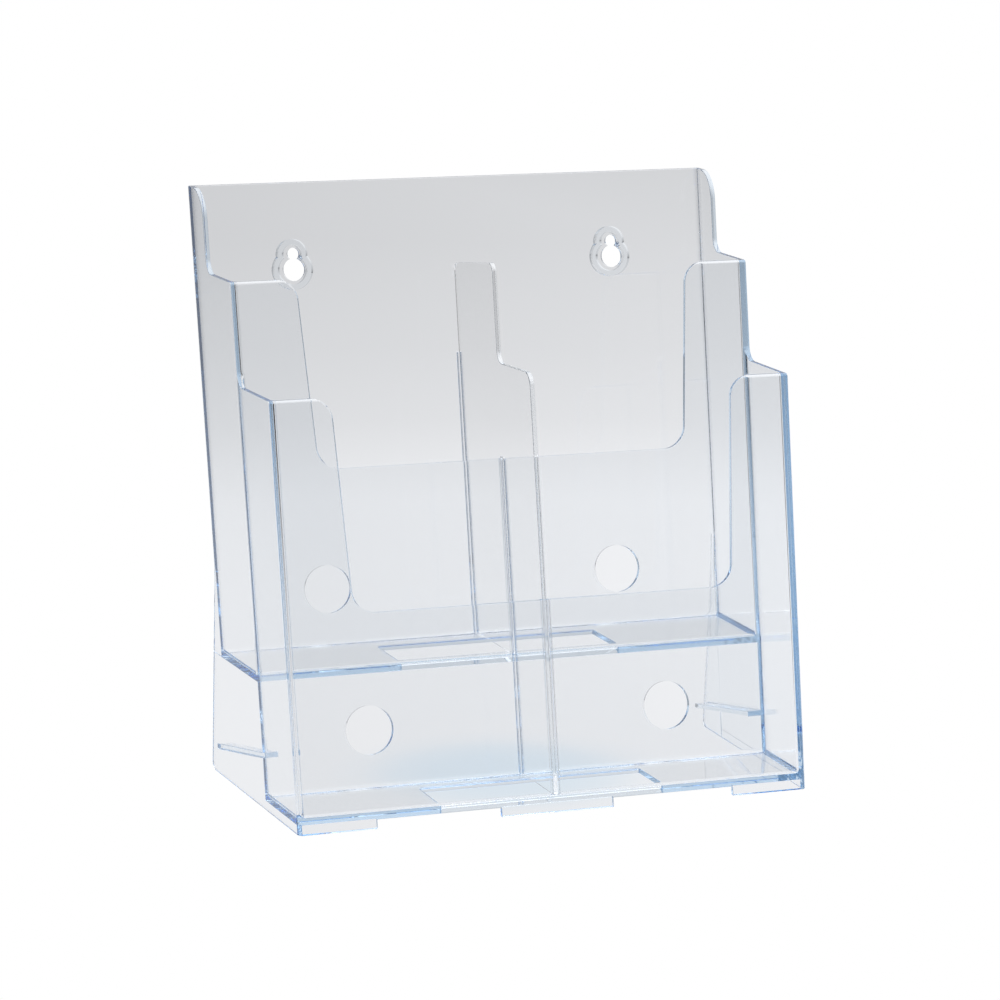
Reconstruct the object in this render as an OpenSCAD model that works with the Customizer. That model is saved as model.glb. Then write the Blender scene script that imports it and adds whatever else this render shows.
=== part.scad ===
// Two-tier clear leaflet rack: one moulded holder and one lift-out divider.
// Frame: millimetres, Z up, front towards -Y, origin at the bottom centre of the bounding box.

/* [Overall] */
// Overall width at the top back corners
overall_w = 238; // [200:1:340]
// Overall height of the back panel
overall_h = 254; // [180:1:360]
// Backward lean of all three panels, degrees
lean = 9.8; // [0:0.1:20]
// Wall thickness of panels and floors
wall_t = 2.2; // [1.5:0.1:4]
// Wall thickness of the two side walls
side_t = 2.1; // [1.5:0.1:4]
// Plan taper of each side wall towards the front, degrees
side_taper = 1.6; // [0:0.1:4]
// Draft of each side wall towards the base, degrees
side_draft = 0.35; // [0:0.05:2]

/* [Pockets] */
// Distance from back panel to middle panel, outer face to outer face, along Y
rear_pitch = 53.4; // [25:0.1:90]
// Distance from middle panel to front panel, outer face to outer face, along Y
front_pitch = 42.9; // [20:0.1:90]
// Height of the side wall step at the middle panel
rear_step_z = 219; // [140:1:330]
// Height of the side wall step at the front panel
front_step_z = 176; // [100:1:300]
// Top of the rear pocket floor
rear_floor_z = 55.5; // [20:0.5:100]
// Top of the front pocket floor
front_floor_z = 6.1; // [4:0.1:30]

/* [Cut-outs] */
// Bottom edge height of the middle panel cut-out
rear_cut_z = 139.7; // [80:0.1:200]
// Half width of the middle panel cut-out near its top
rear_cut_top = 88.4; // [40:0.1:110]
// Half width of the middle panel cut-out near its bottom
rear_cut_low = 83.2; // [40:0.1:110]
// Bottom edge height of the front panel cut-out
front_cut_z = 88.2; // [40:0.1:160]
// Half width of the front panel cut-out near its top
front_cut_top = 89; // [40:0.1:110]
// Half width of the front panel cut-out near its bottom
front_cut_low = 84.2; // [40:0.1:110]
// Corner radius of both cut-outs
cut_r = 9.5; // [2:0.5:20]

/* [Openings] */
// Diameter of the four round holes
hole_d = 21; // [8:0.5:40]
// Distance of the round holes from the centre line
hole_x = 67.8; // [30:0.1:100]
// Height of the round holes in the back panel
rear_hole_z = 78.8; // [50:0.1:150]
// Height of the round holes in the middle panel
front_hole_z = 29.9; // [15:0.1:60]
// Half length of the floor windows
window_x = 50; // [20:1:90]
// Depth of the rear floor window
rear_window_d = 28.8; // [8:0.1:45]
// Depth of the front floor window
front_window_d = 25.4; // [8:0.1:35]

/* [Wall hanging] */
// Distance of each keyhole from the centre line
key_x = 74; // [30:0.5:100]
// Height of the wide lower lobe of the keyholes
key_z = 216.4; // [120:0.1:320]
// Radius of the wide lobe that passes a screw head
key_head_r = 5; // [4:0.1:7]
// Radius of the narrow lobe that holds the screw
key_neck_r = 2.8; // [2:0.1:4]
// Distance between the two lobe centres
key_rise = 6.8; // [4:0.1:12]
// Distance from a keyhole's edge to the inside of its collar
collar_gap = 1.4; // [0.2:0.1:3]
// Rim width of the collar round each keyhole
collar_w = 2.4; // [1:0.1:5]
// Height of the collar behind the back panel
collar_d = 4; // [0.5:0.1:8]

/* [Base] */
// How far the heel of the side walls stands behind the kink
heel = 8.8; // [0:0.1:30]
// Height of the kink in the back edge
kink_z = 91; // [40:1:150]
// Length of the middle foot
foot_len = 50; // [10:1:120]
// Half length of the free stretch between the corner feet
foot_gap_x = 79.5; // [40:0.5:110]
// Width of the ledge ribs on the side walls
ledge_w = 6.5; // [2:0.1:15]
// Thickness of the ledge ribs
ledge_t = 2; // [1:0.1:5]

/* [Divider] */
// Thickness of the divider
div_t = 2; // [1:0.1:4]
// Free play on each side of the divider in its grooves
div_play = 0.1; // [0.05:0.05:0.5]
// Gap between the divider and the panels and floors
div_gap = 0.3; // [0.1:0.1:1]
// Width of each guide rib
rib_w = 0.8; // [0.5:0.1:2]
// Height of each guide rib off its panel
rib_h = 1.8; // [0.8:0.1:4]
// Top of the guide ribs on the back panel
rib_top_z = 178; // [100:1:240]
// Height of the divider at the middle panel
div_top_z = 222.5; // [150:0.5:330]
// Height of the divider at the front panel
div_step_z = 181.5; // [100:0.5:300]

/* [Hidden] */
$fn = 64;
tl = tan(lean);
ph = wall_t / cos(lean);                 // panel thickness measured along Y
depth = overall_h * tl + rear_pitch + front_pitch;
top_y = depth / 2;
foot_z = front_floor_z - wall_t;         // underside of the front floor
rear_under_z = rear_floor_z - wall_t;
groove = div_t / 2 + div_play;
nip = 0.06;                              // how far rounding arcs reach past their edges
clear = [0.80, 0.89, 0.95, 0.35];
rim = [0.70, 0.83, 0.93, 0.45];

// Outer faces of the three leaning panels at a height z
function yb(z) = top_y - (overall_h - z) * tl;
function ym(z) = yb(z) - rear_pitch;
function yf(z) = ym(z) - front_pitch;
function unit(v) = v / norm(v);

// 2D outline in the Y-Z plane carried along X from x0 to x1
module along_x(x0, x1) translate([x0, 0, 0]) rotate([90, 0, 90]) linear_extrude(x1 - x0) children();

// 2D outline drawn on a leaning face, carried out of the face towards the front
module on_face(x, y, z, h) translate([x, y, z]) rotate([90 - lean, 0, 0]) linear_extrude(h) children();

// The web between a corner and its rounding arc; a and b point along the two edges.
// The arc crosses the edges at a slight angle, because a tangent one can leave a gap in the mesh.
module corner_web(p, a, b, r) {
  c = cos(acos(a * b) / 2);
  s = sin(acos(a * b) / 2);
  m = unit(a + b);
  difference() {
    polygon([p + a * r * c / s, p - m * 1.5, p + b * r * c / s, p + m * r / s]);
    translate(p + m * (r / s - nip)) circle(r);
  }
}

// Half space outside a side wall face, inset by d from its outer face
module outside(d) translate([overall_w / 2, top_y, overall_h])
  rotate([0, side_draft, 0]) rotate([0, 0, -side_taper])
  translate([-d, -500, -600]) cube([200, 700, 800]);

// Everything between the inner faces of the side walls
module inner_space() difference() {
  translate([-overall_w, -overall_w, -50]) cube([2 * overall_w, 2 * overall_w, overall_h + 100]);
  outside(side_t);
  mirror([1, 0, 0]) outside(side_t);
}

// Leaning plate between the inner faces of the side walls; y0 is its front face at height z0
module plate(y0, z0, z1, th) intersection() {
  inner_space();
  along_x(-overall_w, overall_w)
    polygon([[y0, z0], [y0 + th, z0], [y0 + th + (z1 - z0) * tl, z1], [y0 + (z1 - z0) * tl, z1]]);
}

// Stepped outline of a side wall
module side_outline() {
  up = [tl, 1] / norm([tl, 1]);
  e1 = yb(rear_step_z) - 19.4;
  kink = [yb(kink_z), kink_z];
  heel_p = [yb(kink_z) + heel, 0];
  flange = [yb(overall_h) - 19.4, overall_h];
  difference() {
    union() {
      polygon([heel_p, kink, [yb(overall_h), overall_h], flange, [e1, rear_step_z],
        [ym(rear_step_z), rear_step_z], [ym(front_step_z), front_step_z],
        [yf(front_step_z), front_step_z], [yf(0), 0]]);
      corner_web([e1, rear_step_z], [-1, 0], up, 6);
      corner_web([ym(front_step_z), front_step_z], [-1, 0], up, 6);
    }
    corner_web(flange, [1, 0], -up, 12);
    corner_web(heel_p, [-1, 0], unit(kink - heel_p), 4);
    corner_web([ym(rear_step_z), rear_step_z], [1, 0], -up, 1.2);
    corner_web([yf(front_step_z), front_step_z], [1, 0], -up, 1.2);
  }
}

module right_wall() difference() {
  intersection() {
    along_x(50, 200) side_outline();
    difference() {
      outside(side_t);
      outside(0);
    }
  }
  // rounded upright corners in front of the pockets
  corner_round(ym(front_step_z + 6.5), front_step_z + 6.5, rear_step_z + 5);
  corner_round(yf(-5), -5, front_step_z + 5);
}

// Rounds the upright edge between a side wall and a panel, front face y at height z0
module corner_round(y, z0, z1) {
  r = 1.9;
  x = overall_w / 2 + (z0 - overall_h) * tan(side_draft) + (y - top_y) * tan(side_taper);
  c = r - nip;
  translate([x, y, z0]) rotate([-lean, side_draft + side_taper * tl, 0]) difference() {
    translate([-c, -3, 0]) cube([c + 3, c + 3, (z1 - z0) / cos(lean)]);
    translate([-c, c, -1]) cylinder(r = r, h = (z1 - z0) / cos(lean) + 2);
  }
}

// Outward rounding where the edge of a cut-out meets the top of its panel
module cut_lip(x, h) translate([x, h - cut_r + 0.6]) difference() {
  translate([-1, 0]) square([cut_r + 1, cut_r + 5]);
  translate([cut_r, 0]) circle(cut_r);
}

// Cut-out of a panel: open at the top, outer face y at height z
module cut_out(y, z_top, z_low, top_x, low_x) {
  h = (z_top - z_low) / cos(lean);
  on_face(0, y, z_low, 30) difference() {
    union() {
      polygon([[-low_x, 0], [low_x, 0], [top_x, h - cut_r], [top_x, h + 5], [-top_x, h + 5],
        [-top_x, h - cut_r]]);
      cut_lip(top_x, h);
      mirror([1, 0]) cut_lip(top_x, h);
    }
    for (s = [-1, 1])
      corner_web([s * low_x, 0], [-s, 0], unit([s * (top_x - low_x), h - cut_r]), cut_r);
  }
}

// Point on a leaning face, stepped back behind the outer face at (y, z) by d along its normal
module behind(d) translate([0, d * cos(lean), -d * sin(lean)]) children();

module hole(x, y, z) behind(6) on_face(x, y, z, 12) circle(d = hole_d);

// Pear outline made of two overlapping lobes
module pear(grow) {
  circle(key_head_r + grow);
  translate([0, key_rise]) circle(key_neck_r + grow);
}

module back_panel() color(clear) difference() {
  plate(yb(rear_under_z) - ph, rear_under_z, overall_h, ph);
  for (s = [-1, 1]) {
    hole(s * hole_x, yb(rear_hole_z), rear_hole_z);
    behind(6) on_face(s * key_x, yb(key_z), key_z, 12) pear(0);
  }
}

module left_side_wall() color(clear) mirror([1, 0, 0]) right_wall();

module right_side_wall() color(clear) right_wall();

module middle_panel() color(clear) difference() {
  plate(ym(foot_z), foot_z, rear_step_z, ph);
  behind(8) cut_out(ym(rear_cut_z), rear_step_z, rear_cut_z, rear_cut_top, rear_cut_low);
  for (s = [-1, 1]) hole(s * hole_x, ym(front_hole_z), front_hole_z);
}

module front_panel() color(clear) difference() {
  plate(yf(foot_z), foot_z, front_step_z, ph);
  behind(8) cut_out(yf(front_cut_z), front_step_z, front_cut_z, front_cut_top, front_cut_low);
}

// Floor between two leaning faces given at the height of its underside
module floor_plate(y_front, y_back, z0) intersection() {
  inner_space();
  along_x(-overall_w, overall_w) polygon([[y_front, z0], [y_back, z0],
    [y_back + wall_t * tl, z0 + wall_t], [y_front + wall_t * tl, z0 + wall_t]]);
}

module floor_window(y_front, y_back, z0, d)
  translate([-window_x, (y_front + y_back - d) / 2, z0 - 1]) cube([2 * window_x, d, wall_t + 2]);

module rear_pocket_floor() color(rim) {
  a = ym(rear_under_z) + ph;
  b = yb(rear_under_z) - ph;
  difference() {
    floor_plate(a, b, rear_under_z);
    floor_window(a, b, rear_under_z, rear_window_d);
  }
}

module front_pocket_floor() color(rim) {
  a = yf(foot_z) + ph;
  b = ym(foot_z);
  difference() {
    floor_plate(a, b, foot_z);
    floor_window(a, b, foot_z, front_window_d);
  }
}

module collar(s) behind(collar_d) on_face(s * key_x, yb(key_z), key_z, collar_d) difference() {
  pear(collar_gap + collar_w);
  pear(collar_gap);
}

module left_keyhole_collar() color(rim) collar(-1);

module right_keyhole_collar() color(rim) collar(1);

// Ledge inside a side wall, square to the leaning panels
module ledge() intersection() {
  inner_space();
  difference() {
    translate([0, ym(24), 24]) rotate([-lean, 0, 0]) translate([50, ph, -ledge_t]) cube([150, 66, ledge_t]);
    translate([-ledge_w, 0, 0]) inner_space();
  }
}

module right_ledge_rib() color(rim) ledge();

module left_ledge_rib() color(rim) mirror([1, 0, 0]) ledge();

// Stretch of the front skirt below the front floor
module foot(x0, x1) intersection() {
  plate(yf(0), 0, foot_z, ph);
  translate([x0, -overall_w, -1]) cube([x1 - x0, 2 * overall_w, foot_z + 2]);
}

module left_foot() color(clear) foot(-overall_w, -foot_gap_x);

module middle_foot() color(clear) foot(-foot_len / 2, foot_len / 2);

module right_foot() color(clear) foot(foot_gap_x, overall_w);

// Guide rib on a leaning face: s is its side, y the face at height z0, d the direction off the face
module rib(s, y, z0, z1, d) along_x(s > 0 ? groove : -groove - rib_w, s > 0 ? groove + rib_w : -groove)
  polygon([[y, z0], [y + d * rib_h, z0], [y + d * rib_h + (z1 - z0) * tl, z1], [y + (z1 - z0) * tl, z1]]);

module back_guide_rib_left() color(rim) rib(-1, yb(rear_floor_z) - ph, rear_floor_z, rib_top_z, -1);

module back_guide_rib_right() color(rim) rib(1, yb(rear_floor_z) - ph, rear_floor_z, rib_top_z, -1);

module middle_guide_rib_left() color(rim) rib(-1, ym(rear_floor_z) + ph, rear_floor_z, rear_cut_z, 1);

module middle_guide_rib_right() color(rim) rib(1, ym(rear_floor_z) + ph, rear_floor_z, rear_cut_z, 1);

module pocket_guide_rib_left() color(rim) rib(-1, ym(front_floor_z), front_floor_z, rear_cut_z, -1);

module pocket_guide_rib_right() color(rim) rib(1, ym(front_floor_z), front_floor_z, rear_cut_z, -1);

module front_guide_rib_left() color(rim) rib(-1, yf(front_floor_z) + ph, front_floor_z, front_cut_z, 1);

module front_guide_rib_right() color(rim) rib(1, yf(front_floor_z) + ph, front_floor_z, front_cut_z, 1);

// Stepped plate that stands in both pockets and straddles the middle panel
module divider_outline() {
  g = div_gap;
  up = [tl, 1] / norm([tl, 1]);
  back = yb(0) - ph - g;                 // back edge of the rear leg at z = 0
  slot_b = ym(0) + ph + g;
  slot_f = ym(0) - g;
  front = yf(0) + ph + g;
  z1 = rear_floor_z + g;
  z2 = front_floor_z + g;
  zs = rear_cut_z + g;
  z3 = div_top_z - 5.5;
  tb = [back + z3 * tl, z3];
  tf = [slot_f + div_top_z * tl, div_top_z];
  sf = [front + div_step_z * tl, div_step_z];
  ss = [slot_f + (div_step_z - 1.2) * tl, div_step_z - 1.2];
  difference() {
    union() {
      polygon([[back + z1 * tl, z1], tb, tf, ss, sf, [front + z2 * tl, z2],
        [slot_f + z2 * tl, z2], [slot_f + zs * tl, zs], [slot_b + zs * tl, zs], [slot_b + z1 * tl, z1]]);
      corner_web(ss, unit(sf - ss), up, 5);
    }
    corner_web(tb, -up, unit(tf - tb), 4);
    corner_web(tf, -up, unit(tb - tf), 4);
    corner_web(sf, -up, unit(ss - sf), 5);
  }
}

module divider() color([0.86, 0.92, 0.96, 0.5]) along_x(-div_t / 2, div_t / 2) divider_outline();

back_panel();
left_side_wall();
right_side_wall();
middle_panel();
front_panel();
rear_pocket_floor();
front_pocket_floor();
left_keyhole_collar();
right_keyhole_collar();
left_ledge_rib();
right_ledge_rib();
left_foot();
middle_foot();
right_foot();
back_guide_rib_left();
back_guide_rib_right();
middle_guide_rib_left();
middle_guide_rib_right();
pocket_guide_rib_left();
pocket_guide_rib_right();
front_guide_rib_left();
front_guide_rib_right();
divider();
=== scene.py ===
"""Clear two-tier leaflet rack: the moulded holder and its lift-out divider, on a pale studio sweep."""

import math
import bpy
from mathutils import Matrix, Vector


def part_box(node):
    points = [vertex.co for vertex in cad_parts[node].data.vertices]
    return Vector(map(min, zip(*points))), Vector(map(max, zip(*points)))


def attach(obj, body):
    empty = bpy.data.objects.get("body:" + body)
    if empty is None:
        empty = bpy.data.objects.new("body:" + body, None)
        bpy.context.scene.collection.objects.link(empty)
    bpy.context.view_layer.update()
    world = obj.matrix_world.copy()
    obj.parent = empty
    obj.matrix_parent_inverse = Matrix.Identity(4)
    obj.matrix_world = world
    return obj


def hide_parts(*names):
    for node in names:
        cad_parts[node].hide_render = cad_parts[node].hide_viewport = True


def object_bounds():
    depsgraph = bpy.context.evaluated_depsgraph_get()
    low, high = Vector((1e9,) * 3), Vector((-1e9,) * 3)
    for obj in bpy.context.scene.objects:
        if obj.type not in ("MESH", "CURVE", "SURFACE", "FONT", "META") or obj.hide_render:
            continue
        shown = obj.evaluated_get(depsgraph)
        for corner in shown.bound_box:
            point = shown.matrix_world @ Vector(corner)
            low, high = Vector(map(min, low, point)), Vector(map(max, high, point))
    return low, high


bl_info = {
    "name": "Two-tier leaflet rack",
    "version": (1, 0, 0),
    "blender": (4, 5, 0),
    "location": "View3D > Sidebar > Leaflet rack",
    "description": "Builds the clear moulded holder, its divider and a pale studio round the packed frame",
    "category": "Add Mesh",
}

import bpy
from mathutils import Vector

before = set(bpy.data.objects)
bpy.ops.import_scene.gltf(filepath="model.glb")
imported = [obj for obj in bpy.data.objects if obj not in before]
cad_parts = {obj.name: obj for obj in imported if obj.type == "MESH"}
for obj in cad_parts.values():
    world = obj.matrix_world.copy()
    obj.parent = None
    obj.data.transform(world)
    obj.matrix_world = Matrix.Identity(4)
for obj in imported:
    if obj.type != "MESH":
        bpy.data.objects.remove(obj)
CAD_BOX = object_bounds()
MM = 0.001
EPS = 0.05 * MM
REACH = 0.5  # length of a cutter that has to run past the part, in metres
ASIDE = 0.01  # half width of a cutter that has to run past the divider's sides
THROUGH = 0.02  # half length of a keyhole's cutter, and a cutter's rise past a panel's top
BEFORE, BEHIND = 0.01, 0.012  # how far a cut-out's cutter stands before and behind its panel's face
CAMERA_PLACE = (-0.5488, -1.5364, 0.4231)
CAMERA_TILT, CAMERA_TURN = 79.51, -19.62  # degrees
CAMERA_LENS = 138.7
DEEP_BOUNCES = 200  # light that runs inside a wall needs many


def low(node):
    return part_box(node)[0]


def high(node):
    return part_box(node)[1]


# ---------------------------------------------------------------- sizes and colours


def length(name, value, description):
    return bpy.props.FloatProperty(name=name, description=description, default=value, unit="LENGTH")


def angle(name, degrees, description):
    return bpy.props.FloatProperty(
        name=name, description=description, default=math.radians(degrees), unit="ROTATION"
    )


def colour(name, value, description):
    return bpy.props.FloatVectorProperty(
        name=name, description=description, default=value, size=len(value), subtype="COLOR", min=0, max=1
    )


class RackSizes(bpy.types.PropertyGroup):
    """Sizes of the holder and the divider."""

    width: length("Width", CAD_BOX[1].x - CAD_BOX[0].x, "Width at the top back corners")
    height: length("Height", high("back_panel").z, "Height of the back panel")
    lean: angle("Lean", 9.8, "Backward lean of the three panels")
    wall: length("Wall", high("rear_pocket_floor").z - low("rear_pocket_floor").z, "Panels and floors")
    side_wall: length("Side wall", 2.1 * MM, "Thickness of the side walls")
    side_taper: angle("Side taper", 1.6, "Plan taper of the side walls towards the front")
    side_draft: angle("Side draft", 0.35, "Draft of the side walls towards the base")
    rear_pitch: length("Rear pocket", 53.4 * MM, "Back panel to middle panel, along Y")
    front_pitch: length("Front pocket", 42.9 * MM, "Middle panel to front panel, along Y")
    rear_step: length("Rear step", high("middle_panel").z, "Height of the middle panel")
    front_step: length("Front step", high("front_panel").z, "Height of the front panel")
    rear_floor: length("Rear floor", high("rear_pocket_floor").z, "Top of the rear pocket floor")
    front_floor: length("Front floor", high("front_pocket_floor").z, "Top of the front pocket floor")
    flange: length("Flange", 19.4 * MM, "Depth of the side walls at the back panel's top")
    kink: length("Kink", 91 * MM, "Height of the kink in the back edge")
    heel: length("Heel", 8.8 * MM, "How far the heel stands behind the kink")
    pocket_round: length("Pocket rounding", 1.9 * MM, "Rounding inside the pockets")
    corner_round: length("Corner rounding", 2.2 * MM, "Rounding of the upright front corners")
    step_round: length("Step rounding", 6 * MM, "Rounding at the foot of each step of the side walls")
    cut_round: length("Cut-out rounding", 9.5 * MM, "Rounding of the cut-outs' corners and lips")
    rim_round: length("Rim rounding", 0.32 * MM, "Rounding of the rims and edges")
    hole: length("Hole", 10.5 * MM, "Radius of the round holes")
    hole_x: length("Hole place", 67.8 * MM, "Round holes from the centre line")
    key_x: length("Keyhole place", 74 * MM, "Keyholes from the centre line")
    key_z: length("Keyhole height", 216.4 * MM, "Height of the keyholes' wide lobe")
    key_head: length("Keyhole head", 5.0 * MM, "Radius of the keyholes' wide lobe")
    key_neck: length("Keyhole neck", 2.8 * MM, "Radius of the keyholes' narrow lobe")
    key_rise: length("Keyhole rise", 6.8 * MM, "Distance between a keyhole's lobes")
    collar_gap: length("Collar gap", 1.4 * MM, "From a keyhole's edge to the inside of its collar")
    collar_rim: length("Collar rim", 2.4 * MM, "Rim width of the keyhole collars")
    collar_depth: length("Collar depth", 4 * MM, "Height of the collars behind the back panel")


class RackColours(bpy.types.PropertyGroup):
    """Colours of the plastic."""

    holder_tint: colour("Holder tint", (0.10, 0.44, 0.72), "What the holder's plastic lets through")
    divider_tint: colour("Divider tint", (0.62, 0.70, 0.76), "What the divider's plastic lets through")
    holder_depth: bpy.props.FloatProperty(
        name="Holder depth", description="Absorption per metre of the holder's plastic", default=14.0
    )
    divider_depth: bpy.props.FloatProperty(
        name="Divider depth", description="Absorption per metre of the divider's plastic", default=1.5
    )
    # painted glow: emission strengths that make the plastic's edges shine blue, though the plastic is no
    # lamp
    holder_painted_glow: bpy.props.FloatProperty(
        name="Holder glow", description="Faint light of the holder's faces, seen in its edges", default=0.003
    )
    divider_painted_glow: bpy.props.FloatProperty(
        name="Divider glow", description="Faint light of the divider's faces", default=0.001
    )
    haze: bpy.props.FloatProperty(
        name="Haze", description="Greatest roughness of the polished plastic", default=0.03
    )


# ---------------------------------------------------------------- modelling helpers


def deselect():
    if bpy.context.mode != "OBJECT":
        bpy.ops.object.mode_set(mode="OBJECT")
    bpy.ops.object.select_all(action="DESELECT")


def activate(piece):
    deselect()
    piece.select_set(True)
    bpy.context.view_layer.objects.active = piece


def settle(piece):
    """Puts a piece's place, turn and size into its mesh."""
    activate(piece)
    bpy.ops.object.transform_apply(location=True, rotation=True, scale=True)
    return piece


def block(name, corner_a, corner_b, *planes):
    """A box between two corners, cut back to what lies behind each plane (point, outward normal)."""
    deselect()
    a, b = Vector(corner_a), Vector(corner_b)
    bpy.ops.mesh.primitive_cube_add(size=1, location=(a + b) / 2, scale=b - a)
    piece = settle(bpy.context.object)
    piece.name = name
    bpy.ops.object.mode_set(mode="EDIT")
    for point, normal in planes:
        bpy.ops.mesh.select_all(action="SELECT")
        bpy.ops.mesh.bisect(plane_co=point, plane_no=normal, use_fill=True, clear_outer=True)
    bpy.ops.object.mode_set(mode="OBJECT")
    return piece


def drum(name, radius, centre_x, centre_z, y0, y1, sides=96):
    """A cylinder along Y."""
    deselect()
    bpy.ops.mesh.primitive_cylinder_add(
        vertices=sides,
        radius=radius,
        depth=y1 - y0,
        location=(centre_x, (y0 + y1) / 2, centre_z),
        rotation=(math.pi / 2, 0, 0),
    )
    piece = settle(bpy.context.object)
    piece.name = name
    return piece


def round_edges(piece, radius, chosen, segments=5, clamp=True):
    """Bevels the edges whose end points pass the test."""
    activate(piece)
    bpy.ops.object.mode_set(mode="EDIT")
    bpy.ops.mesh.select_mode(type="EDGE")
    bpy.ops.mesh.select_all(action="DESELECT")
    bpy.ops.object.mode_set(mode="OBJECT")
    points = piece.data.vertices
    count = 0
    for edge in piece.data.edges:
        edge.select = chosen(*(points[i].co for i in edge.vertices))
        count += edge.select
    if not count:
        raise RuntimeError(f"{piece.name}: no edge to round")
    bpy.ops.object.mode_set(mode="EDIT")
    bpy.ops.mesh.bevel(offset=radius, segments=segments, affect="EDGES", clamp_overlap=clamp)
    bpy.ops.object.mode_set(mode="OBJECT")
    return piece


def soften(piece, width, spared):
    """Takes the sharpness off the edges, but for the spared ones; flat faces become triangles first."""
    activate(piece)
    bpy.ops.object.mode_set(mode="EDIT")
    bpy.ops.mesh.select_mode(type="EDGE")
    bpy.ops.mesh.select_all(action="DESELECT")
    bpy.ops.mesh.edges_select_sharp(sharpness=math.radians(32))
    bpy.ops.mesh.mark_sharp()
    bpy.ops.mesh.select_all(action="SELECT")
    bpy.ops.mesh.quads_convert_to_tris(quad_method="BEAUTY", ngon_method="BEAUTY")
    bpy.ops.mesh.select_all(action="DESELECT")
    bpy.ops.object.mode_set(mode="OBJECT")
    points = piece.data.vertices
    for edge in piece.data.edges:
        edge.select = edge.use_edge_sharp and not any(spared(points[i].co) for i in edge.vertices)
    bpy.ops.object.mode_set(mode="EDIT")
    bpy.ops.mesh.bevel(
        offset=width,
        segments=2,
        affect="EDGES",
        clamp_overlap=False,
        loop_slide=False,
        face_strength_mode="ALL",
    )
    bpy.ops.mesh.select_all(action="SELECT")
    bpy.ops.mesh.mark_sharp(clear=True)
    bpy.ops.object.mode_set(mode="OBJECT")
    return piece


def combine(piece, tool, operation):
    """Applies a boolean with the tool and removes the tool."""
    activate(piece)
    modifier = piece.modifiers.new("cut", "BOOLEAN")
    modifier.operation = operation
    modifier.solver = "EXACT"
    modifier.object = tool
    bpy.ops.object.modifier_apply(modifier=modifier.name)
    bpy.data.objects.remove(tool)
    return piece


def cut(piece, tool):
    return combine(piece, tool, "DIFFERENCE")


def add(piece, tool):
    return combine(piece, tool, "UNION")


def tidy_mesh(piece):
    """Merges doubles left by the booleans and makes flat stretches single faces."""
    activate(piece)
    bpy.ops.object.mode_set(mode="EDIT")
    bpy.ops.mesh.select_all(action="SELECT")
    bpy.ops.mesh.remove_doubles(threshold=0.004 * MM)
    bpy.ops.mesh.dissolve_limited(angle_limit=math.radians(0.4))
    bpy.ops.mesh.normals_make_consistent(inside=False)
    bpy.ops.object.mode_set(mode="OBJECT")


# ---------------------------------------------------------------- shape of the rack


class Shape:
    """Faces and directions that follow from the sizes."""

    def __init__(self, s):
        self.s = s
        self.slope = math.tan(s.lean)
        self.up = Vector((0, math.sin(s.lean), math.cos(s.lean)))
        self.back = Vector((0, math.cos(s.lean), -math.sin(s.lean)))
        self.thick = s.wall / math.cos(s.lean)
        self.top_y = CAD_BOX[1].y
        self.face = {"back_panel": self.back_y, "middle_panel": self.middle_y, "front_panel": self.front_y}
        taper, draft = s.side_taper, s.side_draft
        self.side = Vector(
            (math.cos(taper) * math.cos(draft), -math.sin(taper), -math.cos(taper) * math.sin(draft))
        )

    def back_y(self, z):
        return self.top_y - (self.s.height - z) * self.slope

    def middle_y(self, z):
        return self.back_y(z) - self.s.rear_pitch

    def front_y(self, z):
        return self.middle_y(z) - self.s.front_pitch

    def leaning(self, y, forward):
        """A leaning plane through y at z = 0; forward says on which side the solid is cut away."""
        return (0, y, 0), (-self.back if forward else self.back)

    def sides(self, inset):
        """Both side planes, moved in from the outer faces."""
        point = Vector((self.s.width / 2, self.top_y, self.s.height)) - self.side * inset
        mirror = Vector((-1, 1, 1))
        return (point, self.side), (point * mirror, self.side * mirror)


def on_face(piece, y, z, lean):
    """Tilts a piece, modelled on an upright face at y = 0 and z = 0, onto a leaning face."""
    piece.rotation_euler = (-lean, 0, 0)
    piece.location = (0, y, z)
    return settle(piece)


def upright(a, b):
    return abs(b.z - a.z) > 0.9 * (b - a).length


def silhouette(shape):
    """The holder's outside as one solid: leaning front, tapered sides, steps and pinched back."""
    s = shape.s
    outside = block(
        "holder",
        (-REACH, -REACH, 0),
        (REACH, shape.top_y + 0.001, s.height),
        shape.leaning(shape.front_y(0), True),
        *shape.sides(0),
    )
    kink = (0, shape.back_y(s.kink), s.kink)
    heel_line = Vector((0, s.heel, -s.kink))
    behind = block(
        "behind",
        (-REACH, -REACH, -REACH),
        (REACH, REACH, REACH),
        (kink, -shape.back),
        (kink, Vector((0, heel_line.z, -heel_line.y))),
    )
    cut(outside, behind)
    for y, z in ((shape.middle_y(0), s.front_step), (shape.back_y(0) - s.flange, s.rear_step)):
        step = block("step", (-REACH, -REACH, z), (REACH, REACH, REACH), shape.leaning(y, False))
        round_edges(
            step,
            s.step_round,
            lambda a, b: abs(a.z - z) < EPS and abs(b.z - z) < EPS and min(a.y, b.y) > -REACH + EPS,
            8,
        )
        cut(outside, step)
    tidy_mesh(outside)

    def across(y, z, reach=0.3 * MM):
        """Edges along X through (y, z)."""
        return lambda a, b: all(abs(p.y - y) < reach and abs(p.z - z) < reach for p in (a, b))

    round_edges(outside, 12 * MM, across(shape.back_y(s.height) - s.flange, s.height), 12)
    for y, z in ((shape.middle_y(s.rear_step), s.rear_step), (shape.front_y(s.front_step), s.front_step)):
        round_edges(outside, 1.2 * MM, across(y, z), 4)
    round_edges(outside, 4 * MM, across(shape.back_y(s.kink) + s.heel, 0), 6)

    def front_corner(point):
        return abs(point.y - shape.front_y(point.z)) < 0.1 * MM and abs(point.x) > 0.4 * s.width

    round_edges(
        outside,
        s.corner_round,
        lambda a, b: front_corner(a) and front_corner(b) and abs(a.z - b.z) > s.front_step / 2,
        5,
        clamp=False,
    )
    return outside


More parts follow.
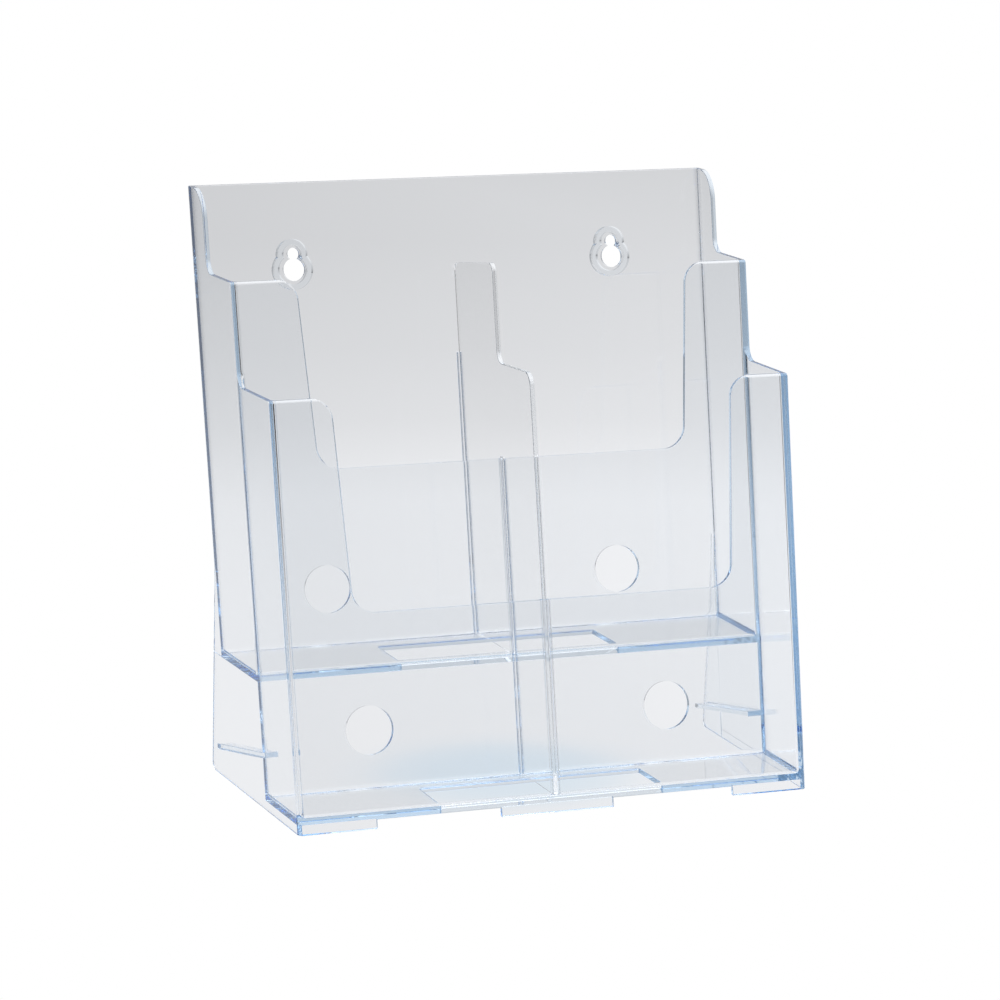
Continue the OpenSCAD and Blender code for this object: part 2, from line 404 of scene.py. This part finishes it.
def pocket(shape, name, y_front, y_back, floor_z):
    """The space inside a pocket, rounded where the panels, side walls and floor meet."""
    space = block(
        name,
        (-REACH, -REACH, floor_z),
        (REACH, REACH, REACH),
        shape.leaning(y_front, True),
        shape.leaning(y_back, False),
        *shape.sides(shape.s.side_wall),
    )
    below = floor_z + EPS
    return round_edges(
        space, shape.s.pocket_round, lambda a, b: upright(a, b) or (a.z < below and b.z < below), 5
    )


def hollow_out(holder, shape):
    """Cuts both pockets and the spaces below and behind them."""
    s = shape.s
    thick = shape.thick
    rear_front, rear_back = shape.middle_y(0) + thick, shape.back_y(0) - thick
    cut(holder, pocket(shape, "rear_pocket", rear_front, rear_back, s.rear_floor))
    cut(holder, pocket(shape, "front_pocket", shape.front_y(0) + thick, shape.middle_y(0), s.front_floor))
    for y, top in ((rear_front, s.rear_floor - s.wall), (shape.front_y(0) + thick, s.front_floor - s.wall)):
        under = block(
            "under",
            (-REACH, -REACH, -REACH),
            (REACH, REACH, top),
            shape.leaning(y, True),
            *shape.sides(s.side_wall),
        )
        cut(holder, under)
    recess = block(
        "recess",
        (-REACH, -REACH, -REACH),
        (REACH, REACH, s.kink + 2 * MM),
        shape.leaning(shape.back_y(0), True),
        *shape.sides(s.side_wall),
    )
    return cut(holder, recess)


def finger_cut(shape, y, z_top, z_low, half_top, half_low):
    """Cutter of a panel's cut-out, with round lower corners."""
    rise = (z_top - z_low) / math.cos(shape.s.lean)
    flare = Vector((rise, 0, half_low - half_top))
    cutter = block(
        "finger_cut",
        (-REACH, -BEFORE, 0),
        (REACH, BEHIND, rise + THROUGH),
        ((half_low, 0, 0), flare),
        ((-half_low, 0, 0), flare * Vector((-1, 1, 1))),
    )
    round_edges(
        cutter, shape.s.cut_round, lambda a, b: max(a.z, b.z) < EPS and abs(b.y - a.y) > BEFORE, 12
    )
    return on_face(cutter, y, z_low, shape.s.lean)


def lip(shape, y, z_top, z_low, half_top, half_low, side):
    """Cutter of the round corner where a cut-out runs out at its panel's top."""
    radius = shape.s.cut_round
    rise = (z_top - z_low) / math.cos(shape.s.lean)
    middle = rise - radius + 0.3 * MM
    half = half_low + (half_top - half_low) * middle / rise
    x = sorted((side * (half - 0.3 * MM), side * (half + radius)))
    corner = block("lip", (x[0], -BEFORE, middle), (x[1], BEHIND, rise + THROUGH))
    cut(corner, drum("round", radius, side * (half + radius), middle, -THROUGH, THROUGH))
    return on_face(corner, y, z_low, shape.s.lean)


def pear(shape, name, side, grow, y0, y1):
    """A keyhole's outline, two overlapping lobes, carried through the back panel."""
    s = shape.s
    body = drum(name, s.key_head + grow, side * s.key_x, 0, y0, y1)
    add(body, drum("neck", s.key_neck + grow, side * s.key_x, s.key_rise, y0, y1))
    return on_face(body, shape.back_y(s.key_z), s.key_z, s.lean)


FINGER_CUTS = (  # panel, lower edge, half width at the top and at the bottom
    ("middle_panel", 139.7 * MM, 88.4 * MM, 83.2 * MM),
    ("front_panel", 88.2 * MM, 89.0 * MM, 84.2 * MM),
)
HOLE_HEIGHTS = {"back_panel": 78.8 * MM, "middle_panel": 29.9 * MM}
WINDOW_HALF = 50 * MM
WINDOWS = {"rear_pocket_floor": 28.8 * MM, "front_pocket_floor": 25.4 * MM}


def cut_openings(holder, shape):
    """Finger cut-outs, round holes and floor windows."""
    s = shape.s
    for panel, z_low, half_top, half_low in FINGER_CUTS:
        z_top = high(panel).z
        outline = shape, shape.face[panel](z_low), z_top, z_low, half_top, half_low
        cut(holder, finger_cut(*outline))
        for side in (-1, 1):
            cut(holder, lip(*outline, side))
        tidy_mesh(holder)
    for panel, z in HOLE_HEIGHTS.items():
        for side in (-1, 1):
            hole = drum("hole", s.hole, side * s.hole_x, 0, -0.008, 0.008)
            cut(holder, on_face(hole, shape.face[panel](z), z, s.lean))
    for floor, depth in WINDOWS.items():
        bottom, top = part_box(floor)
        underside = bottom.z + EPS
        if floor == "rear_pocket_floor":
            ends = shape.middle_y(underside) + shape.thick, shape.back_y(underside) - shape.thick
        else:
            ends = shape.front_y(underside) + shape.thick, shape.middle_y(underside)
        middle = sum(ends) / 2
        window = block(
            "window",
            (-WINDOW_HALF, middle - depth / 2, bottom.z - MM),
            (WINDOW_HALF, middle + depth / 2, top.z + MM),
        )
        round_edges(window, 1.2 * MM, upright, 4)
        cut(holder, window)


def add_collars(holder, shape):
    """Keyholes with a raised rim behind the back panel."""
    s = shape.s
    for side in (-1, 1):
        rim = pear(shape, "collar", side, s.collar_gap + s.collar_rim, -0.6 * s.wall, s.collar_depth)
        add(holder, rim)
        cut(holder, pear(shape, "collar_inside", side, s.collar_gap, 0, THROUGH))
        cut(holder, pear(shape, "keyhole", side, 0, -THROUGH, THROUGH))


def add_ledges(holder, shape):
    """Ledge inside each side wall, square to the panels."""
    s = shape.s
    lift = 24 * MM
    for side in (-1, 1):
        inner = shape.sides(s.side_wall)[0 if side > 0 else 1]
        foot = inner[0] - Vector((side * 6.5 * MM, 0, 0))
        ledge = block(
            "ledge",
            (-REACH if side < 0 else 0.05, s.wall - 0.8 * MM, -2 * MM),
            (-0.05 if side < 0 else REACH, s.wall + 66 * MM, 0),
        )
        on_face(ledge, shape.middle_y(lift), lift, s.lean)
        activate(ledge)
        bpy.ops.object.mode_set(mode="EDIT")
        for point, normal in ((foot, -inner[1]), (inner[0] + inner[1] * 0.8 * MM, inner[1])):
            bpy.ops.mesh.select_all(action="SELECT")
            bpy.ops.mesh.bisect(plane_co=point, plane_no=normal, use_fill=True, clear_outer=True)
        bpy.ops.object.mode_set(mode="OBJECT")
        add(holder, ledge)


def add_guides(holder, shape):
    """Pairs of guide ribs that hold the divider's edges."""
    s = shape.s
    groove, width, rise, root = 1.1 * MM, 0.8 * MM, 1.8 * MM, 0.8 * MM
    middle_cut, front_cut = FINGER_CUTS[0][1], FINGER_CUTS[1][1]
    guides = (  # face's y at a height, panel behind the face (1) or before it (-1), floor, top
        (lambda z: shape.back_y(z) - shape.thick, -1, s.rear_floor, 178 * MM),
        (lambda z: shape.middle_y(z) + shape.thick, 1, s.rear_floor, middle_cut - 0.4 * MM),
        (shape.middle_y, -1, s.front_floor, middle_cut - 0.4 * MM),
        (lambda z: shape.front_y(z) + shape.thick, 1, s.front_floor, front_cut - 0.4 * MM),
    )
    for face, way, z0, z1 in guides:
        for side in (-1, 1):
            start = z0 - root
            y = sorted((-way * root, way * rise * math.cos(s.lean)))
            x = sorted((side * groove, side * (groove + width)))
            rib = block("rib", (x[0], y[0], 0), (x[1], y[1], (z1 - start) / math.cos(s.lean)))
            add(holder, on_face(rib, face(start), start, s.lean))


def open_skirt(holder, shape):
    """Leaves three short feet of the front skirt."""
    s = shape.s
    top = s.front_floor - s.wall
    front = shape.front_y(0)
    for side in (-1, 1):
        x = sorted((side * high("middle_foot").x, side * low("right_foot").x))
        gap = block("gap", (x[0], front - 0.01, -0.01), (x[1], front + shape.thick + 0.002, top))
        cut(holder, gap)


def round_rim(shape, point):
    """Whether a point lies on the rim of a round hole or a keyhole."""
    s = shape.s
    zones = [(panel, s.hole_x, z, s.hole + MM) for panel, z in HOLE_HEIGHTS.items()]
    zones.append(("back_panel", s.key_x, s.key_z + s.key_rise / 3, 12 * MM))
    return any(
        abs(abs(point.x) - x) < reach
        and abs(point.z - z) < reach
        and abs(point.y - shape.face[panel](point.z)) < 7 * MM
        for panel, x, z, reach in zones
    )


def build_holder(sizes):
    """The whole moulding: outside, pockets, openings, collars, ledges, guide ribs and feet."""
    shape = Shape(sizes)
    holder = silhouette(shape)
    hollow_out(holder, shape)
    cut_openings(holder, shape)
    add_collars(holder, shape)
    add_ledges(holder, shape)
    add_guides(holder, shape)
    open_skirt(holder, shape)
    tidy_mesh(holder)
    return soften(holder, sizes.rim_round, lambda point: round_rim(shape, point))


def build_divider(sizes):
    """Stepped plate that stands in both pockets and straddles the middle panel."""
    shape = Shape(sizes)
    bottom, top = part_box("divider")
    gap = 0.3 * MM
    back = shape.back_y(0) - shape.thick - gap
    front = shape.front_y(0) + shape.thick + gap
    slot = shape.middle_y(0) - gap, shape.middle_y(0) + shape.thick + gap
    head_front, head_back, step = 222.5 * MM, 217 * MM, 181.5 * MM

    def slanted(a, b):
        """Plane through two points (y, z), cutting away what lies above."""
        return (0, *a), (0, a[1] - b[1], b[0] - a[0])

    head = (
        (slot[0] + head_front * shape.slope, head_front),
        (back + head_back * shape.slope, head_back),
    )
    plate = block(
        "divider_plate",
        (bottom.x, -REACH, bottom.z),
        (top.x, REACH, REACH),
        shape.leaning(back, False),
        shape.leaning(front, True),
        slanted(*head),
    )
    inner = (slot[0] + (step - 1.2 * MM) * shape.slope, step - 1.2 * MM)
    outer = (front + step * shape.slope, step)
    point, normal = slanted(outer, inner)
    above = block(
        "above",
        (-ASIDE, -REACH, 0),
        (ASIDE, REACH, REACH),
        (point, -Vector(normal)),
        shape.leaning(slot[0], False),
    )

    def near(y, z):
        return lambda a, b: all(abs(p.y - y) < 0.3 * MM and abs(p.z - z) < 0.3 * MM for p in (a, b))

    round_edges(above, 5 * MM, near(*inner), 8)
    cut(plate, above)
    rise = sizes.rear_floor + gap
    slot_top = FINGER_CUTS[0][1] + gap
    cut(
        plate,
        block(
            "slot",
            (-ASIDE, -REACH, -REACH),
            (ASIDE, REACH, slot_top),
            shape.leaning(slot[0], True),
            shape.leaning(slot[1], False),
        ),
    )
    middle = sum(slot) / 2
    below = block("below", (-ASIDE, -REACH, -REACH), (ASIDE, REACH, rise), shape.leaning(middle, True))
    cut(plate, below)
    tidy_mesh(plate)
    for (y, z), radius in ((head[0], 4 * MM), (head[1], 4 * MM), (outer, 5 * MM)):
        round_edges(plate, radius, near(y, z), 8)
    return soften(plate, 0.3 * MM, lambda point: False)


# ---------------------------------------------------------------- materials


class Sock:
    """A node socket that does arithmetic by adding Math nodes."""

    def __init__(self, paint, socket):
        self.paint, self.socket = paint, socket

    def _math(self, operation, *values):
        return self.paint.node("ShaderNodeMath", {"operation": operation}, dict(enumerate(values)))

    def __add__(self, other):
        return self._math("ADD", self, other)

    def __mul__(self, other):
        return self._math("MULTIPLY", self, other)

    __radd__, __rmul__ = __add__, __mul__


class Paint:
    """A material's node tree, with one method that makes every node."""

    def __init__(self, tree):
        self.tree = tree
        tree.nodes.clear()

    def node(self, kind, settings=None, inputs=None, out=0):
        made = self.tree.nodes.new(kind)
        for key, value in (settings or {}).items():
            if key == "stops":
                for stop, (place, shade) in zip(made.color_ramp.elements, value):
                    stop.position, stop.color = place, shade
                for place, shade in value[2:]:
                    made.color_ramp.elements.new(place).color = shade
            else:
                setattr(made, key, value)
        for key, value in (inputs or {}).items():
            if isinstance(value, Sock):
                self.tree.links.new(value.socket, made.inputs[key])
            else:
                made.inputs[key].default_value = value
        return Sock(self, made.outputs[out]) if made.outputs else made


def new_paint(name):
    material = bpy.data.materials.new(name)
    material.use_nodes = True
    return material, Paint(material.node_tree)


def clear_plastic(name, tint, depth, roughness, glow):
    """Polished moulded plastic: clear in a thin wall, tinted along its length, with faint sink and haze, and
    a faint painted blue glow that stands in for light carried inside the walls.
    """
    material, paint = new_paint(name)
    place = paint.node("ShaderNodeTexCoord", out="Object")
    waves = paint.node(
        "ShaderNodeTexNoise", {}, {"Vector": place, "Scale": 26.0, "Detail": 1.0, "Roughness": 0.4}
    )
    haze = paint.node(
        "ShaderNodeTexNoise", {}, {"Vector": place, "Scale": 60.0, "Detail": 3.0, "Roughness": 0.6}
    )
    bump = paint.node("ShaderNodeBump", {}, {"Height": waves, "Strength": 0.03, "Distance": 0.0004})
    surface = paint.node(
        "ShaderNodeBsdfPrincipled",
        {},
        {
            "Base Color": (1, 1, 1, 1),
            "Roughness": haze * roughness,
            "Normal": bump,
            "IOR": 1.575,
            "Transmission Weight": 1.0,
            # painted glow: faint blue emission on the plastic, which is no lamp, standing in for light piped
            # along the walls and seen in their edges
            "Emission Color": (0.25, 0.5, 0.85, 1),
            "Emission Strength": glow,
        },
    )
    inside = paint.node("ShaderNodeVolumeAbsorption", {}, {"Color": (*tint, 1), "Density": depth})
    paint.node("ShaderNodeOutputMaterial", {}, {"Surface": surface, "Volume": inside})
    return material


# ---------------------------------------------------------------- studio


def shade_of(value):
    """A slightly cool grey."""
    return (value, value, 1.015 * value, 1)


def grey_ramp(paint, place, *stops):
    """Greys along a value: the first and the last stop, then those between."""
    return paint.node(
        "ShaderNodeValToRGB", {"stops": [(at, shade_of(value)) for at, value in stops]}, {"Fac": place}
    )


def white_when_seen(paint, colour):
    """The given colour for light and for what shows through the plastic, plain white seen directly."""
    seen = paint.node("ShaderNodeLightPath", out="Is Camera Ray")
    return paint.node("ShaderNodeMix", {"data_type": "RGBA"}, {0: seen, 6: colour, 7: (1, 1, 1, 1)}, out=2)


def build_world():
    """Bright overhead, grey behind the rack and darker in front of it."""
    world = bpy.data.worlds.new("studio")
    bpy.context.scene.world = world
    world.use_nodes = True
    paint = Paint(world.node_tree)
    direction = paint.node("ShaderNodeTexCoord", out="Generated")
    rise = paint.node("ShaderNodeSeparateXYZ", {}, {0: direction}, out="Z")
    along = paint.node("ShaderNodeSeparateXYZ", {}, {0: direction}, out="Y")
    behind = grey_ramp(paint, rise, (0.0, 0.62), (1.0, 1.9), (0.3, 0.66), (0.7, 1.5))
    before = grey_ramp(paint, rise, (0.0, 0.34), (1.0, 1.9), (0.4, 0.42), (0.75, 1.5))
    sky = paint.node(
        "ShaderNodeMix", {"data_type": "RGBA"}, {0: along * -2.5 + 0.5, 6: behind, 7: before}, out=2
    )
    background = paint.node("ShaderNodeBackground", {}, {"Color": white_when_seen(paint, sky)})
    paint.node("ShaderNodeOutputWorld", {}, {"Surface": background})


def build_floor():
    """Pale emitting floor with its light painted in: a painted blue cast under the rack, a bright painted
    pool of light round it falling off with distance, and painted side light brighter towards +X.
    """
    deselect()
    bpy.ops.mesh.primitive_circle_add(vertices=96, radius=12, fill_type="NGON", location=(0, 0, -0.0005))
    floor = bpy.context.object
    floor.name = "floor"
    material, paint = new_paint("floor")
    place = paint.node("ShaderNodeTexCoord", out="Object")
    far = paint.node("ShaderNodeVectorMath", {"operation": "LENGTH"}, {0: place}, out="Value")
    across = paint.node("ShaderNodeSeparateXYZ", {}, {0: place}, out="X")
    # painted light: a blue cast painted right under the rack, then a bright painted pool of light that falls
    # off with distance
    painted_floor_pool = paint.node(
        "ShaderNodeValToRGB",
        {
            "stops": [
                (0.0, (0.80, 0.89, 0.97, 1)),
                (1.0, shade_of(0.55)),
                (0.010, (0.82, 0.90, 0.97, 1)),
                (0.017, shade_of(0.97)),
                (0.11, shade_of(0.96)),
                (0.165, shade_of(0.94)),
                (0.24, shade_of(0.80)),
                (0.325, shade_of(0.73)),
                (0.5, shade_of(0.65)),
            ]
        },
        {"Fac": far * 0.25},
    )
    # painted side light: the floor painted brighter towards +X, up to a cap
    painted_side_light = paint.node("ShaderNodeMath", {"operation": "MINIMUM"}, {0: across * 0.26 + 0.93, 1: 1.14})
    pale = paint.node(
        "ShaderNodeVectorMath", {"operation": "SCALE"}, {0: painted_floor_pool, "Scale": painted_side_light}, out="Vector"
    )
    glow = paint.node("ShaderNodeEmission", {}, {"Color": white_when_seen(paint, pale)})
    paint.node("ShaderNodeOutputMaterial", {}, {"Surface": glow})
    floor.data.materials.append(material)


def build_softbox():
    """One wide soft light above and behind the rack."""
    data = bpy.data.lights.new("softbox", "AREA")
    data.shape, data.size, data.size_y, data.energy = "RECTANGLE", 1.2, 0.8, 14
    lamp = bpy.data.objects.new("softbox", data)
    lamp.location = (-0.7, 0.5, 1.5)
    lamp.rotation_euler = (Vector((0, 0, 0.12)) - lamp.location).to_track_quat("-Z", "Y").to_euler()
    bpy.context.scene.collection.objects.link(lamp)


def build_camera():
    """Camera at the viewing angle, with enough bounces for clear walls behind one another."""
    scene = bpy.context.scene
    data = bpy.data.cameras.new("camera")
    camera = bpy.data.objects.new("camera", data)
    scene.collection.objects.link(camera)
    camera.location = CAMERA_PLACE
    camera.rotation_euler = (math.radians(CAMERA_TILT), 0, math.radians(CAMERA_TURN))
    data.sensor_width = 36
    data.lens = CAMERA_LENS
    data.clip_start, data.clip_end = 0.01, 50
    scene.camera = camera
    scene.view_settings.view_transform = "Standard"
    scene.cycles.max_bounces = DEEP_BOUNCES
    scene.cycles.transmission_bounces = DEEP_BOUNCES
    scene.cycles.glossy_bounces = 64


# ---------------------------------------------------------------- operators and panel


def shade(piece):
    """Smooth curves and truly flat panels: big faces keep their own normals."""
    activate(piece)
    bpy.ops.object.shade_smooth_by_angle(angle=math.radians(35))
    modifier = piece.modifiers.new("flat_panels", "WEIGHTED_NORMAL")
    modifier.mode = "FACE_AREA"
    modifier.weight = 100
    modifier.keep_sharp = True
    modifier.use_face_influence = True
    bpy.ops.object.modifier_apply(modifier=modifier.name)


HOLDER_NODES = [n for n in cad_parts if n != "divider"]


class RACK_OT_stage(bpy.types.Operator):
    """Adds the camera and the pale studio"""

    bl_idname = "rack.stage"
    bl_label = "Studio and camera"

    def execute(self, context):
        build_camera()
        build_world()
        build_floor()
        build_softbox()
        return {"FINISHED"}


class RACK_OT_holder(bpy.types.Operator):
    """Builds the one-piece clear moulding with both pockets"""

    bl_idname = "rack.holder"
    bl_label = "Holder"

    def execute(self, context):
        holder = build_holder(context.scene.rack_sizes)
        tones = context.scene.rack_colours
        holder.data.materials.clear()
        holder.data.materials.append(
            clear_plastic(
                "clear_moulding", tones.holder_tint, tones.holder_depth, tones.haze, tones.holder_painted_glow
            )
        )
        shade(holder)
        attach(holder, "holder")
        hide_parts(*HOLDER_NODES)
        return {"FINISHED"}


class RACK_OT_divider(bpy.types.Operator):
    """Builds the stepped divider that lifts out"""

    bl_idname = "rack.divider"
    bl_label = "Divider"

    def execute(self, context):
        plate = build_divider(context.scene.rack_sizes)
        tones = context.scene.rack_colours
        plate.data.materials.clear()
        plate.data.materials.append(
            clear_plastic(
                "clear_divider", tones.divider_tint, tones.divider_depth, tones.haze, tones.divider_painted_glow
            )
        )
        shade(plate)
        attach(plate, "divider")
        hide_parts("divider")
        return {"FINISHED"}


class RACK_PT_panel(bpy.types.Panel):
    """Lists the rack's steps and sizes"""

    bl_idname = "RACK_PT_panel"
    bl_label = "Leaflet rack"
    bl_space_type = "VIEW_3D"
    bl_region_type = "UI"
    bl_category = "Leaflet rack"

    def draw(self, context):
        for step in STEPS:
            self.layout.operator(step.bl_idname)
        for group in (context.scene.rack_sizes, context.scene.rack_colours):
            for name in group.__annotations__:
                self.layout.prop(group, name)


STEPS = (RACK_OT_stage, RACK_OT_holder, RACK_OT_divider)
CLASSES = (RackSizes, RackColours, *STEPS, RACK_PT_panel)


def register():
    for each in CLASSES:
        bpy.utils.register_class(each)
    bpy.types.Scene.rack_sizes = bpy.props.PointerProperty(type=RackSizes)
    bpy.types.Scene.rack_colours = bpy.props.PointerProperty(type=RackColours)


def unregister():
    del bpy.types.Scene.rack_colours
    del bpy.types.Scene.rack_sizes
    for each in reversed(CLASSES):
        bpy.utils.unregister_class(each)


def main():
    register()
    bpy.ops.rack.stage()
    bpy.ops.rack.holder()
    bpy.ops.rack.divider()
    bpy.context.view_layer.update()


if __name__ == "__main__":
    main()
